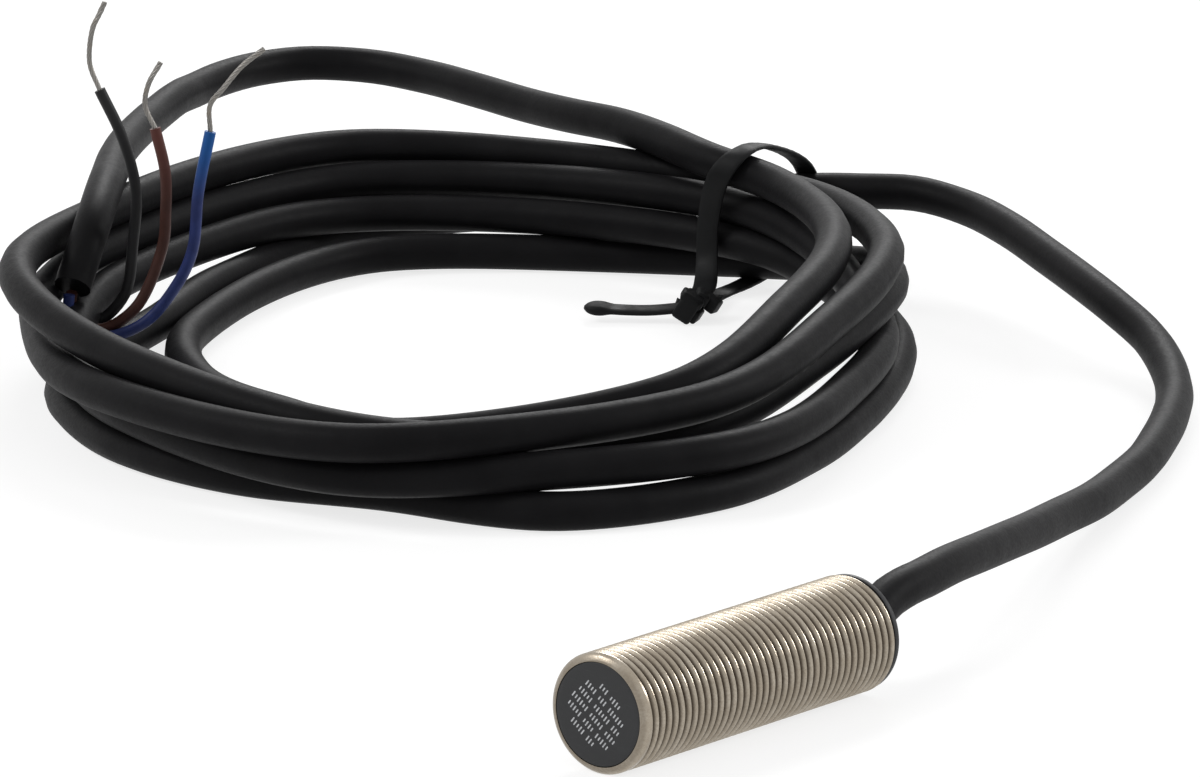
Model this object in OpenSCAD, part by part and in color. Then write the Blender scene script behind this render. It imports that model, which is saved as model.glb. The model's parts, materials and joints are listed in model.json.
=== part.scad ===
// Inductive proximity sensor: a threaded tubular housing with its sensing coil and
// board inside, and a lead wound into a tied coil that ends in three stripped wires.
// The housing lies along Y on the surface z = 0, with its sensing face towards -Y.

/* [Housing] */
// Outer diameter of the thread
thread_d = 12; // [11:0.1:16]
// Distance from one thread crest to the next
thread_pitch = 1; // [0.75:0.05:1.25]
// Depth of the thread
thread_depth = 0.6; // [0.4:0.01:0.75]
// Length of the metal barrel
barrel_l = 39.3; // [38:0.1:60]
// Inner diameter of the barrel
bore_d = 10; // [8.3:0.05:10.2]
// Size of the chamfer at the front of the barrel
front_chamfer = 0.7; // [0.3:0.05:0.9]
// Size of the chamfer at the back of the barrel
rear_chamfer = 0.2; // [0.1:0.05:0.4]
// Middle of the first thread groove, from the front
first_groove = 1.4; // [1.35:0.05:3]

/* [Sensing end] */
// Diameter of the face disc
face_d = 10.3; // [10.2:0.05:10.5]
// Thickness of the face disc
face_t = 0.8; // [0.4:0.05:1.2]
// Length of the skirt behind the face disc
skirt_l = 6.2; // [5:0.1:9]
// Wall of the skirt
skirt_t = 0.4; // [0.25:0.05:0.6]
// Length of the ferrite core
core_l = 3.6; // [3:0.1:5]
// Outer wall of the ferrite core
core_wall = 0.75; // [0.5:0.05:1]
// Back plate of the ferrite core
core_plate = 1.1; // [0.8:0.05:1.5]
// Diameter of the core's centre post
post_d = 3.4; // [2.8:0.1:4]
// Diameter of the hole down the centre post
post_hole_d = 1.2; // [0.6:0.1:1.6]
// Wall and flange thickness of the coil former
former_t = 0.25; // [0.15:0.05:0.4]
// Length of the board carrier
carrier_l = 3; // [2:0.1:5]

/* [Board] */
// Gap between the edges of the circuit board and the bore
board_gap = 0.88; // [0.3:0.02:1.6]
// Thickness of the circuit board
board_t = 0.8; // [0.6:0.1:1]
// Width of the tab that enters the carrier
tab_w = 5; // [4:0.1:6]
// Length of the tab that enters the carrier
tab_l = 2.6; // [1.5:0.1:2.8]
// Free length between the board and the potting resin
board_end_gap = 0.7; // [0.4:0.1:2]
// Diameter of the fine wires from the coil
coil_lead_d = 0.24; // [0.1:0.02:0.3]

/* [Cable end] */
// Thickness of the rear cap's rim
rim_t = 0.7; // [0.4:0.05:2]
// Diameter of the rear cap's rim
rim_d = 11.4; // [10.6:0.1:11.8]
// Length of the rear cap inside the barrel
spigot_l = 4.2; // [3:0.1:6]
// Wall of the rear cap round the cable seal
spigot_wall = 0.95; // [0.5:0.05:1.5]
// Length of the cable seal
seal_l = 1.5; // [1:0.1:2]
// Length of the crimped ring on the jacket
clamp_l = 1.2; // [0.8:0.1:1.5]
// Wall of the crimped ring
clamp_t = 0.45; // [0.3:0.05:0.8]
// Thickness of the resin plug in front of the jacket's end
resin_l = 3.4; // [2.8:0.1:4.5]

/* [Cable] */
// Diameter of the cable
cable_d = 4.2; // [3.4:0.1:5.2]
// Diameter of an insulated wire
wire_d = 1.3; // [1:0.05:1.5]
// Diameter of a bare twisted wire end
strand_d = 0.6; // [0.4:0.05:0.8]
// Layers of cable in the tied coil
coil_layers = 3; // [2:1:4]

/* [Cable tie] */
// Width of the tie strap
strap_w = 2.6; // [2:0.1:3.5]
// Thickness of the tie strap
strap_t = 0.6; // [0.5:0.05:1]
// Length of the tie's head
head_l = 6; // [4:0.1:7]
// Width of the tie's head
head_w = 4.2; // [3:0.1:4.6]
// Height of the tie's head
head_h = 3.2; // [2:0.1:4]
// Length of the tie's free end
tie_tail_l = 8.6; // [4:0.1:12]

/* [Hidden] */
$fn = 64;
fit = 0.03;                        // gap between pieces pushed together
loose = 0.1;                       // gap round a piece that is laid in
wire_sides = 8;
cable_sides = 12;

body_l = barrel_l + rim_t;
front_y = -body_l / 2;
rear_y = body_l / 2;
axis_h = thread_d / 2;             // the barrel's crests rest on z = 0
crest_r = thread_d / 2;
root_r = crest_r - thread_depth;
bore_r = bore_d / 2;
groove_w = thread_pitch * 7 / 8;
root_w = groove_w - 2 * thread_depth * tan(30);
groove_count = floor((barrel_l - rear_chamfer - groove_w / 2 - first_groove) / thread_pitch) + 1;

// places along the axis, from the sensing face
skirt_end = face_t + skirt_l;
skirt_r = bore_r - fit;
core_r = skirt_r - skirt_t - fit;
core_s = face_t + fit;
core_end = core_s + core_l;
well_l = core_l - core_plate;      // depth of the ring-shaped well in the core
well_in_r = post_d / 2;
well_out_r = core_r - core_wall;
former_in_r = well_in_r + fit;
former_out_r = well_out_r - loose;
former_l = well_l - fit;
carrier_s = core_end + fit;
carrier_end = carrier_s + carrier_l;
tab_s = carrier_end - tab_l;
board_s = carrier_end + loose;
cap_s = barrel_l - spigot_l;       // front of the rear cap's spigot
seal_s = cap_s + fit;
clamp_s = cap_s - loose - clamp_l;
jacket_s = clamp_s - loose;        // where the jacket ends inside the housing
resin_end = jacket_s - loose;
resin_s = resin_end - resin_l;
board_end = resin_s - board_end_gap;
board_top = board_t / 2;
board_w = 2 * sqrt(pow(bore_r - board_gap, 2) - pow(board_top, 2));
board_l = board_end - board_s;
spigot_r = bore_r - fit;
pocket_r = spigot_r - spigot_wall; // pocket for the seal
seal_r = pocket_r - fit;

cable_r = cable_d / 2;
wire_r = wire_d / 2;
coil_lead_r = coil_lead_d / 2;
lead_x = post_d / 2 + 0.6;          // coil leads either side of the middle
lead_z = board_top + coil_lead_r + fit;
pad_pitch = wire_d + 0.7;                  // spacing of the three cable wires on the board
wire_spread = wire_r / sin(60) + 0.25; // wires' distance from the middle of the jacket
wire_top = board_top + wire_r;
joint_l = 1.6;                     // length of a solder joint

// places of the parts along the board, from its front edge
front_resistors_s = 1.9;
controller_s = 5.5;
capacitors_s = 9.6;
transistor_s = 12.3;
diodes_s = [15.1, 17.3];

joint_end = board_end - 0.3;

// the tied coil, about its own centre and turned towards the camera side
coil_centre = [-107, 89];
coil_turn = 39;
coil_h = coil_layers * cable_d;
coil_step = 40;                    // angle between two stations of an outline
coil_start = 60;                   // the tie holds the coil at this angle
outer_reach = [82, 84, 60, 51.5, 50.5, 58.5, 60.5, 49.5, 52.5];
inner_reach = [62, 62, 38.5, 27, 26, 34, 43, 38, 41.5];

// the lead from the housing to the tied coil
lead_route = [
    [0, rear_y, axis_h], [0, rear_y + 2, axis_h], [-1, 26, 7.5], [-1.5, 30, 8.2], [-2.2, 34, 8.2],
    [-4, 41, 8], [-6.5, 49, 7.2], [-9.5, 57.5, 6.2], [-13, 67, 5], [-17, 77.5, 3.8],
    [-20.5, 88, 2.9], [-24.5, 98, 2.3], [-28.5, 108, 2.1], [-33, 117, 2.1], [-38, 126, 2.1],
    [-43.5, 134.5, 2.4], [-50, 142, 3.3], [-57, 148, 4.5], [-65, 152.5, 6], [-73.5, 157.5, 7],
    [-82, 162.5, 7.8], [-91, 167.5, 8.7], [-99.5, 171, 9.4], [-107.5, 171.5, 10], [-113.5, 169.5, 9.8]];
// the last stretch, out of the tie, over the back and down into the left of the coil
tail_route = [
    [-112, 150.5, 15], [-122, 151.5, 15], [-132, 155, 15.5], [-141.5, 158.5, 15.5], [-151.5, 161.5, 15],
    [-161, 165, 14.5], [-171, 168, 14.5], [-181, 170.5, 14.5], [-189.5, 170, 14.8], [-196, 166, 15],
    [-198.5, 159.5, 15], [-198, 152, 15], [-196, 145, 15], [-193, 138.5, 15.5], [-188.5, 129.5, 15.5],
    [-183, 120.5, 16], [-177.5, 112, 16.5], [-171.5, 103.5, 17], [-165, 95, 17.2], [-159, 87, 17],
    [-154, 79.5, 15]];
// the three wires, from where they come up out of the coil
black_route = [[-149, 81, 14], [-148.5, 81, 20], [-149.5, 80, 26], [-151.5, 78.5, 31.5]];
brown_route = [[-145, 81.5, 14], [-144.5, 81.5, 18], [-144.5, 81.5, 22.5], [-145.5, 81, 27.5]];
blue_route = [[-141, 82, 14], [-140.5, 82.5, 20.5], [-139.5, 83.5, 27.5]];
black_bare = [[-151.5, 78.5, 31.5], [-152.5, 78, 34.5], [-152, 78, 38.5], [-151.5, 78.5, 40], [-151, 79, 41.5]];
brown_bare = [[-145.5, 81, 27.5], [-146.5, 80.5, 30], [-146, 80.5, 32.5], [-145, 81.5, 35]];
blue_bare = [[-139.5, 83.5, 27.5], [-139.5, 83.5, 30.5], [-138, 84, 32.5], [-136.5, 85.5, 35], [-134.5, 87, 37]];

// the tie's loop round the coil, as distance from the coil's centre and height
loop_top = coil_h + cable_d + 1;
loop_in = [[50, strap_t], [82.6, strap_t], [82.6, coil_h + 0.4], [67, loop_top], [60.5, loop_top],
    [58.5, coil_h], [50, 2.2]];
head_place = [25.4, 41.5];         // the head lies inside the coil on the surface

// ---- helpers ----

// a turned piece, drawn as radius and distance from the sensing face
module turned() {
    translate([0, front_y, axis_h]) rotate([-90, 0, 0]) rotate_extrude() children();
}

// a piece placed by its distance from the sensing face, with z up from the axis
module inside(s, x = 0, z = 0) {
    translate([x, front_y + s, axis_h + z]) children();
}

// a round hole or rod along the axis, from one distance to another
module axial_rod(s0, s1, r, x = 0, z = 0) {
    inside(s0, x, z) rotate([-90, 0, 0]) cylinder(h = s1 - s0, r = r);
}

// a ring of rectangular section
module ring_section(r_in, r_out, s0, s1) {
    translate([r_in, s0]) square([r_out - r_in, s1 - s0]);
}

function unit(v) = v / norm(v);
function heading(p, i) = unit(p[min(i + 1, len(p) - 1)] - p[max(i - 1, 0)]);
// the side direction carried along a route, so that the tube does not twist
function sides_of(p, side, i = 0) = i == len(p) ? [] :
    let (t = heading(p, i), n = unit(side - (side * t) * t)) concat([n], sides_of(p, n, i + 1));

// a tube of one radius swept along a route, with one ring at each point
module swept_tube(p, r, sides, side = [1, 0, 0.2]) {
    n = sides_of(p, side);
    last = len(p) - 1;
    rings = [for (i = [0:last]) let (b = cross(heading(p, i), n[i]))
        for (k = [0:sides - 1]) p[i] + r * (cos(360 * k / sides) * n[i] + sin(360 * k / sides) * b)];
    walls = [for (i = [0:last - 1]) for (k = [0:sides - 1]) let (m = (k + 1) % sides)
        [i * sides + k, (i + 1) * sides + k, (i + 1) * sides + m, i * sides + m]];
    ends = [[for (k = [0:sides - 1]) k], [for (k = [sides - 1:-1:0]) last * sides + k]];
    polyhedron(concat(rings), concat(walls, ends), convexity = 8);
}

// a straight rod between two points
module rod(p, q, r) {
    d = q - p;
    translate(p) rotate([0, acos(d[2] / norm(d)), atan2(d[1], d[0])]) cylinder(h = norm(d), r = r);
}

// a point of a smooth closed curve through stations, at a fraction t after station i
function blend(a, b, c, d, t) =
    0.5 * (2 * b + (c - a) * t + (2 * a - 5 * b + 4 * c - d) * t * t + (3 * b - a - 3 * c + d) * t * t * t);
function reach_at(list, i, t) = let (n = len(list))
    blend(list[(i + n - 1) % n], list[i], list[(i + 1) % n], list[(i + 2) % n], t);
function coil_outline(list, parts) = [for (i = [0:len(list) - 1]) for (k = [0:parts - 1])
    let (a = coil_start + coil_step * (i + k / parts), r = reach_at(list, i, k / parts)) r * [cos(a), sin(a)]];

// the frame of the tied coil, about its centre
module in_coil() {
    translate([coil_centre[0], coil_centre[1], 0]) rotate(coil_turn) children();
}

// the frame of the tie: x runs out from the coil's centre
module at_tie() {
    in_coil() rotate(coil_start) children();
}

// ---- housing ----

module threaded_barrel() {
    grooves = [for (i = [0:groove_count - 1]) let (c = first_groove + i * thread_pitch)
        each [[crest_r, c - groove_w / 2], [root_r, c - root_w / 2],
              [root_r, c + root_w / 2], [crest_r, c + groove_w / 2]]];
    seat_r = face_d / 2 + fit;
    outline = concat(
        [[seat_r, 0], [crest_r - front_chamfer, 0], [crest_r, front_chamfer]],
        grooves,
        [[crest_r, barrel_l - rear_chamfer], [crest_r - rear_chamfer, barrel_l],
         [bore_r, barrel_l], [bore_r, face_t], [seat_r, face_t]]);
    color("#b8ab97") turned() polygon(outline);
}

module front_cap() {
    color("#1c1c1e") turned() {
        square([face_d / 2, face_t]);
        ring_section(skirt_r - skirt_t, skirt_r, 0, skirt_end);
    }
}

module rear_cap() {
    edge = min(0.35, rim_t / 2);
    hole_r = cable_r + fit;
    color("#1c1c1e") turned() polygon([
        [pocket_r, cap_s], [spigot_r, cap_s], [spigot_r, barrel_l], [rim_d / 2, barrel_l],
        [rim_d / 2, body_l - edge], [rim_d / 2 - edge, body_l], [hole_r, body_l],
        [hole_r, cap_s + seal_l + 2 * fit], [pocket_r, cap_s + seal_l + 2 * fit]]);
}

// ---- sensing end ----

module ferrite_core() {
    color("#3a3a3c") difference() {
        turned() {
            ring_section(post_hole_d / 2, core_r, core_s + well_l, core_end);
            ring_section(post_hole_d / 2, well_in_r, core_s, core_end);
            ring_section(well_out_r, core_r, core_s, core_end);
        }
        for (x = [-lead_x, lead_x])
            axial_rod(core_s + well_l - loose, core_end + loose, 2 * coil_lead_r + loose, x, lead_z);
    }
}

module coil_former() {
    back_s = core_s + former_l - former_t;
    color("#e8e2cf") difference() {
        turned() {
            ring_section(former_in_r, former_in_r + former_t, core_s, core_s + former_l);
            ring_section(former_in_r, former_out_r, core_s, core_s + former_t);
            ring_section(former_in_r, former_out_r, back_s, core_s + former_l);
        }
        for (x = [-lead_x, lead_x])
            axial_rod(back_s - loose, core_s + former_l + loose, coil_lead_r + fit, x, lead_z);
    }
}

module coil_winding() {
    color("#b5652a") turned()
        ring_section(former_in_r + former_t + fit, former_out_r - loose,
            core_s + former_t + fit, core_s + former_l - former_t - fit);
}

module coil_leads() {
    start_s = core_s + former_l - former_t;
    color("#b5652a") for (x = [-lead_x, lead_x])
        axial_rod(start_s, board_s + 1.2, coil_lead_r, x, lead_z);
}

module board_carrier() {
    slot = [tab_w + 2 * fit, tab_l + loose, board_t + 2 * fit];
    color("#2b2b2e") difference() {
        axial_rod(carrier_s, carrier_end, core_r);
        inside(tab_s - fit) translate([-slot[0] / 2, 0, -slot[2] / 2]) cube(slot);
        for (x = [-lead_x, lead_x])
            axial_rod(carrier_s - loose, carrier_end + loose, coil_lead_r + loose, x, lead_z);
    }
}

// ---- board ----

module circuit_board() {
    color("#1f6b3a") inside(0, 0, -board_t / 2) union() {
        translate([-board_w / 2, board_s, 0]) cube([board_w, board_l, board_t]);
        translate([-tab_w / 2, tab_s, 0]) cube([tab_w, tab_l + loose, board_t]);
    }
}

// a moulded package with a row of bent legs along each side
module package(size, legs_left, legs_right, pitch) {
    foot = 0.9;
    leg_t = 0.15;
    leg_w = 0.4;
    lift = 0.1;
    translate([-size[0] / 2, -size[1] / 2, lift]) cube(size);
    for (side = [-1, 1]) {
        count = side < 0 ? legs_left : legs_right;
        for (i = [0:count - 1]) translate([0, (i - (count - 1) / 2) * pitch - leg_w / 2, 0]) {
            inner = size[0] / 2 - 0.1;
            translate([side < 0 ? -inner - foot : inner, 0, 0]) cube([foot, leg_w, leg_t]);
            translate([side < 0 ? -inner - 0.3 : inner, 0, 0]) cube([0.3, leg_w, size[2] / 2 + lift]);
        }
    }
}

// a chip component with a metal end at each side
module chip_part(size) {
    ends = 0.25;
    thicker = 0.03;
    translate([-size[0] / 2 + ends, -size[1] / 2 + thicker, thicker])
        cube([size[0] - 2 * ends, size[1] - 2 * thicker, size[2] - 2 * thicker]);
    for (x = [-size[0] / 2, size[0] / 2 - ends]) translate([x, -size[1] / 2, 0]) cube([ends, size[1], size[2]]);
}

module controller_chip() {
    color("#18181a") inside(board_s + controller_s, 0, board_top) package([3.8, 4.9, 1.3], 4, 4, 1.25);
}

module output_transistor() {
    color("#18181a") inside(board_s + transistor_s, 0, board_top) package([1.4, 2.9, 1], 1, 2, 1.9);
}

module clamp_diodes() {
    diode_r = 0.7;
    diode_l = 3.4;
    color("#7a2f22") for (s = diodes_s)
        inside(board_s + s, -diode_l / 2, board_top + diode_r)
            rotate([0, 90, 0]) cylinder(h = diode_l, r = diode_r);
}

module capacitors() {
    color("#b59b74") for (x = [-2.6, 0, 2.6])
        inside(board_s + capacitors_s, x, board_top) chip_part([2, 1.25, 0.9]);
}

module resistors() {
    color("#202022") {
        for (x = [-2.8, -0.9, 0.9, 2.8]) inside(board_s + front_resistors_s, x, board_top) chip_part([1.6, 0.8, 0.45]);
        for (x = [-2.7, 2.7]) inside(board_s + transistor_s, x, board_top) chip_part([1.6, 0.8, 0.45]);
    }
}

module solder_joints() {
    color("#c9ccd0") intersection() {
        union() for (i = [-1:1]) axial_rod(joint_end - joint_l, joint_end, wire_r, i * pad_pitch, wire_top);
        inside(board_s, -board_w / 2, board_top) cube([board_w, board_l, 2 * wire_r]);
    }
}

// ---- cable end ----

// route of one wire, from the jacket's end straight through the resin to the board
function conductor_route(angle, i) = let (
    from = [wire_spread * cos(angle), front_y + jacket_s - wire_r / 2, axis_h + wire_spread * sin(angle)],
    over = [i * pad_pitch, front_y + resin_s - 0.25, axis_h + wire_top],
    to = [i * pad_pitch, front_y + joint_end, axis_h + wire_top]) [from, over, to];

module resin_hole(angle, i) {
    p = conductor_route(angle, i);
    rod(p[0] + unit(p[0] - p[1]), p[1], wire_r + 2 * fit);
}

module potting_resin() {
    color("#3b3630") difference() {
        axial_rod(resin_s, resin_end, bore_r - fit);
        resin_hole(210, -1);
        resin_hole(90, 0);
        resin_hole(330, 1);
    }
}

module brown_conductor() {
    color("#6b3a1e") swept_tube(conductor_route(210, -1), wire_r, cable_sides);
}

module black_conductor() {
    color("#18181a") swept_tube(conductor_route(90, 0), wire_r, cable_sides);
}

module blue_conductor() {
    color("#1f4fa0") swept_tube(conductor_route(330, 1), wire_r, cable_sides);
}

module cable_seal() {
    color("#232325") turned() ring_section(cable_r + fit, seal_r, seal_s, seal_s + seal_l);
}

module clamp_ring() {
    color("#c2a35a") turned() ring_section(cable_r + fit, cable_r + fit + clamp_t, clamp_s, clamp_s + clamp_l);
}

module cable_root() {
    color("#1b1b1d") axial_rod(jacket_s, body_l, cable_r);
}

// ---- free cable ----

module lead_cable() {
    color("#1b1b1d") swept_tube(lead_route, cable_r, cable_sides);
}

module cable_coil() {
    notch = strap_t + loose;
    color("#1b1b1d") difference() {
        in_coil() linear_extrude(coil_h) difference() {
            polygon(coil_outline(outer_reach, 4));
            polygon(coil_outline(inner_reach, 4));
        }
        at_tie() translate([loop_in[0][0], -strap_w / 2 - loose, -1])
            cube([40, strap_w + 2 * loose, 1 + notch]);
    }
}

module cable_tail() {
    color("#1b1b1d") swept_tube(tail_route, cable_r, cable_sides);
}

module brown_wire() {
    color("#6b3a1e") swept_tube(brown_route, wire_r, wire_sides);
}

module blue_wire() {
    color("#1f4fa0") swept_tube(blue_route, wire_r, wire_sides);
}

module black_wire() {
    color("#18181a") swept_tube(black_route, wire_r, wire_sides);
}

module brown_strands() {
    color("#c9ccd0") swept_tube(brown_bare, strand_d / 2, wire_sides);
}

module blue_strands() {
    color("#c9ccd0") swept_tube(blue_bare, strand_d / 2, wire_sides);
}

module black_strands() {
    color("#c9ccd0") swept_tube(black_bare, strand_d / 2, wire_sides);
}

// ---- cable tie ----

module cable_tie() {
    color("#161617") {
        at_tie() translate([0, strap_w / 2, 0]) rotate([90, 0, 0]) linear_extrude(strap_w) difference() {
            offset(delta = strap_t) polygon(loop_in);
            polygon(loop_in);
        }
        in_coil() translate([head_place[0], head_place[1], 0]) {
            translate([-head_l / 2, -head_w / 2, 0]) cube([head_l, head_w, head_h]);
            translate([-head_l / 2 - tie_tail_l, -strap_w / 2, head_h / 3]) cube([tie_tail_l + 1, strap_w, 1]);
        }
    }
}

threaded_barrel();
front_cap();
ferrite_core();
coil_former();
coil_winding();
coil_leads();
board_carrier();
circuit_board();
controller_chip();
output_transistor();
clamp_diodes();
capacitors();
resistors();
solder_joints();
potting_resin();
rear_cap();
cable_seal();
clamp_ring();
cable_root();
brown_conductor();
blue_conductor();
black_conductor();
lead_cable();
cable_coil();
cable_tail();
brown_wire();
blue_wire();
black_wire();
brown_strands();
blue_strands();
black_strands();
cable_tie();
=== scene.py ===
import json
from math import ceil, cos, hypot, pi, radians, sin

import bmesh
import bpy
from mathutils import Matrix, Vector
from mathutils.bvhtree import BVHTree
from mathutils.kdtree import KDTree

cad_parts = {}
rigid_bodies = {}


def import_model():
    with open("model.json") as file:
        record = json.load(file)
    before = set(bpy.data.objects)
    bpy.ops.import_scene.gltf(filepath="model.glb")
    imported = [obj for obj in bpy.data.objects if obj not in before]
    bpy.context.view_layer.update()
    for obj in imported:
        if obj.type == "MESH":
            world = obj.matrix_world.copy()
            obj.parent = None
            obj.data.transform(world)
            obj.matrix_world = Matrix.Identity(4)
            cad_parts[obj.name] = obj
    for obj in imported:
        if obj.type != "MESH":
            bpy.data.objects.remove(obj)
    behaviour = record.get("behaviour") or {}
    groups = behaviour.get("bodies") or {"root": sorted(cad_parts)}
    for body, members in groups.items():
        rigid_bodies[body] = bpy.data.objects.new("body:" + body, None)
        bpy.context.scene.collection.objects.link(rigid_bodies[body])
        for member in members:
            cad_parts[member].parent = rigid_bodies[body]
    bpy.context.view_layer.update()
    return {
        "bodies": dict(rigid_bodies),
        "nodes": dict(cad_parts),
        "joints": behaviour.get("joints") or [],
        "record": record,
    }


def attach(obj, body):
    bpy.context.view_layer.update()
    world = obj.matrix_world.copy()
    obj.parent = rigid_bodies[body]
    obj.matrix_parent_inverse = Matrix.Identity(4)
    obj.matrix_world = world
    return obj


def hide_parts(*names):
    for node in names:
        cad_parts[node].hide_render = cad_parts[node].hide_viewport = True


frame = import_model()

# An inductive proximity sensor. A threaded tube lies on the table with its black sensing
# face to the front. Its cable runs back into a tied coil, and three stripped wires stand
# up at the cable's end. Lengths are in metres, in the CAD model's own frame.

scene = bpy.context.scene
BODY = "root"
MM = 0.001

# The housing's own sizes, as in the CAD source. Only the rim follows the photograph: it is wider.
FACE_Y = -0.020
REAR_Y = 0.020
AXIS_Z = 0.006
BARREL_L = 39.3 * MM
CREST_R = 6.0 * MM
ROOT_R = 5.39 * MM
PITCH = 1.0 * MM
FIRST_GROOVE = 1.4 * MM
BORE_R = 5.0 * MM
FACE_R = 5.15 * MM
FACE_T = 0.8 * MM
SKIRT_END = 7.0 * MM
SKIRT_R = 4.97 * MM
SKIRT_T = 0.4 * MM
FRONT_CHAMFER = 0.7 * MM
REAR_CHAMFER = 0.2 * MM
RIM_R = 5.88 * MM
CABLE_R = 2.1 * MM
WIRE_R = 0.65 * MM

# Where things are in the photograph, 1200 by 777.
PHOTO_W, PHOTO_H = 1200, 777
EDGES = {"object_left": 554, "object_right": 897.5, "object_top": 576, "object_bottom": 773.5}
POINTS = {
    "face_middle": (596, 715),
    "face_top": (590, 662),
    "face_bottom": (603, 767),
    "cable_exit_upper": (870, 585.5),
    "black_cut": (97, 88),
    "black_tip": (107, 4),
    "brown_cut": (153, 128),
    "brown_tip": (161, 64),
    "blue_cut": (209, 134),
    "blue_tip": (263, 48),
    "tie_head": (690, 308),
    "tie_end": (583, 309),
}

# ------------------------------------------------------------------ camera


def set_camera():
    """A long lens, turned 39 degrees to the right of the housing and a little above it."""
    data = bpy.data.cameras.new("camera")
    data.sensor_fit = "AUTO"
    data.sensor_width = 36.0
    data.lens = 300.0
    data.shift_x = 0.0
    data.shift_y = 0.0
    data.clip_start, data.clip_end = 0.05, 30.0
    camera = bpy.data.objects.new("camera", data)
    camera.location = (0.5815, -0.7372, 0.2577)
    camera.rotation_euler = (radians(90 - 13.38), 0.0, radians(39.02))
    scene.collection.objects.link(camera)
    scene.camera = camera
    bpy.context.view_layer.update()
    return camera


camera = set_camera()
LONG_SIDE = max(PHOTO_W, PHOTO_H)


def sight_line(x, y):
    """The ray from the camera through a point of the photograph."""
    lens = camera.data
    way = Vector((x - PHOTO_W / 2 + lens.shift_x * LONG_SIDE,
                  PHOTO_H / 2 - y + lens.shift_y * LONG_SIDE,
                  -LONG_SIDE * lens.lens / lens.sensor_width))
    stand = camera.matrix_world
    return stand.translation.copy(), (stand.to_3x3() @ way).normalized()


def in_photo(point):
    """Where a point of the scene falls in the photograph."""
    lens = camera.data
    p = camera.matrix_world.inverted() @ Vector(point)
    grow = LONG_SIDE * lens.lens / lens.sensor_width / -p.z
    return (PHOTO_W / 2 - lens.shift_x * LONG_SIDE + p.x * grow,
            PHOTO_H / 2 + lens.shift_y * LONG_SIDE - p.y * grow)


# Where the nearest surface is looked for along a sight line that misses, in metres.
SEARCH_FROM, SEARCH_STEP, SEARCH_STEPS = 0.6, 0.002, 400


def on_surface(tree, x, y):
    """Where the sight line through a point of the photograph meets a surface, or comes nearest."""
    start, way = sight_line(x, y)
    spot = tree.ray_cast(start, way)[0]
    if spot is None:
        places = (start + way * (SEARCH_FROM + k * SEARCH_STEP) for k in range(SEARCH_STEPS))
        found = [near for near in map(tree.find_nearest, places) if near[0] is not None]
        spot = min(found, key=lambda near: near[3])[0]
    return spot


# ------------------------------------------------------------------ finishes


class Signal:
    """One output of a node. Arithmetic on it adds Math nodes beside that node."""

    def __init__(self, nodes, socket):
        self.nodes, self.socket = nodes, socket

    def _sum(self, operation, *terms):
        return self.nodes.node("ShaderNodeMath", {"operation": operation}, dict(enumerate(terms)))

    def __add__(self, other): return self._sum("ADD", self, other)
    def __radd__(self, other): return self._sum("ADD", other, self)
    def __sub__(self, other): return self._sum("SUBTRACT", self, other)
    def __rsub__(self, other): return self._sum("SUBTRACT", other, self)
    def __mul__(self, other): return self._sum("MULTIPLY", self, other)
    def __rmul__(self, other): return self._sum("MULTIPLY", other, self)
    def __pow__(self, other): return self._sum("POWER", self, other)
    def most(self, other): return self._sum("MAXIMUM", self, other)
    def wave(self): return self._sum("SINE", self)

    def between(self, start, end, low=0.0, high=1.0):
        """Runs smoothly from low to high while this signal goes from start to end."""
        return self.nodes.node(
            "ShaderNodeMapRange", {"interpolation_type": "SMOOTHSTEP", "clamp": True},
            {"Value": self, "From Min": start, "From Max": end, "To Min": low, "To Max": high})

    def spread(self, low=0.0, high=1.0):
        """Runs from low to high over the range in which most of a noise lies."""
        return self.between(0.3, 0.7, low, high)


class Nodes:
    """A node tree, and the one way in which nodes are added to it."""

    def __init__(self, tree):
        self.tree = tree

    def put(self, socket, value):
        """Links a signal to a socket, or sets the socket's plain value."""
        if isinstance(value, Signal):
            self.tree.links.new(value.socket, socket)
        elif socket.type == "RGBA" and len(value) == 3:
            socket.default_value = (*value, 1.0)
        else:
            socket.default_value = value

    def node(self, kind, settings=None, sockets=None, out=0):
        """Adds any node: its settings first, then a value or a link for each named socket."""
        made = self.tree.nodes.new(kind)
        for key, value in (settings or {}).items():
            setattr(made, key, value)
        for key, value in (sockets or {}).items():
            self.put(made.inputs[key], value)
        return Signal(self, made.outputs[out])

    def looked_at(self):
        """1 for the rays of the camera, of gloss and of glass, 0 for the light on the object."""
        camera, glossy, through = (self.node("ShaderNodeLightPath", out=f"Is {kind} Ray")
                                   for kind in ("Camera", "Glossy", "Transmission"))
        return camera.most(glossy).most(through)


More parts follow.
